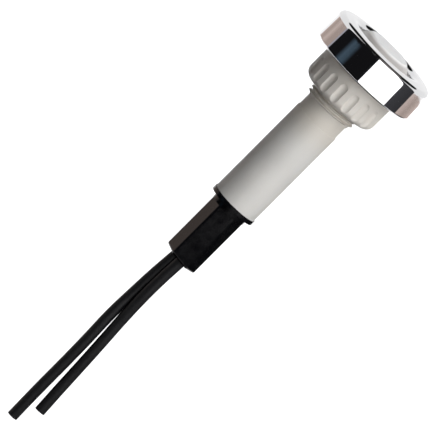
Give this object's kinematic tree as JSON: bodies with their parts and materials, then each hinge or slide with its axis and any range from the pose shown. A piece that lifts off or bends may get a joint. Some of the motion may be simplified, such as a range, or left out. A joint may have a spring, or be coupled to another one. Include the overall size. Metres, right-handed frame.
{
  "type": "pilot light",
  "caption": "Round panel pilot light with a chrome bezel, frosted lens, threaded white barrel, fluted nut, black end plug and two black wires.",
  "frame": {"origin": "centre of the seat that bears on the front of the panel", "axes": "+Z along the lamp's axis towards the lens, wires leave towards -Z, +X to the right when the wires are seen side by side"},
  "size_m": [0.0212, 0.0212, 0.0915],
  "materials": {
    "chrome_plate": "bright decorative chrome on moulded plastic",
    "lens_plastic": "frosted translucent polycarbonate",
    "body_nylon": "natural white nylon, satin",
    "nut_nylon": "natural white nylon, slightly translucent",
    "black_plastic": "black moulded plastic, soft gloss",
    "wire_pvc": "black PVC wire insulation",
    "lamp_glass": "phosphor-coated glass",
    "lead_wire": "tinned lead wire",
    "ferrule_metal": "tinned brass",
    "copper_strand": "bare stranded copper",
    "resistor_lacquer": "sand-coloured lacquer",
    "sleeve_plastic": "clear to milky sleeving",
    "shrink_plastic": "black shrink sleeving"
  },
  "bodies": {
    "root": {"bezel_ring": "chrome_plate", "lens": "lens_plastic", "barrel_body": "body_nylon", "panel_nut": "nut_nylon", "end_plug": "black_plastic", "wire_left": "wire_pvc", "wire_right": "wire_pvc", "wire_root_left": "wire_pvc", "wire_root_right": "wire_pvc", "neon_bulb": "lamp_glass", "lamp_lead_short": "lead_wire", "lamp_lead_long": "lead_wire", "resistor_lead_front": "lead_wire", "resistor_lead_rear": "lead_wire", "lead_ferrule": "ferrule_metal", "wire_ferrule_left": "ferrule_metal", "wire_ferrule_right": "ferrule_metal", "conductor_left": "copper_strand", "conductor_right": "copper_strand", "resistor_body": "resistor_lacquer", "resistor_sleeve": "sleeve_plastic", "lead_sleeve": "sleeve_plastic", "ferrule_sleeve_left": "shrink_plastic", "ferrule_sleeve_right": "shrink_plastic"}
  },
  "joints": []
}
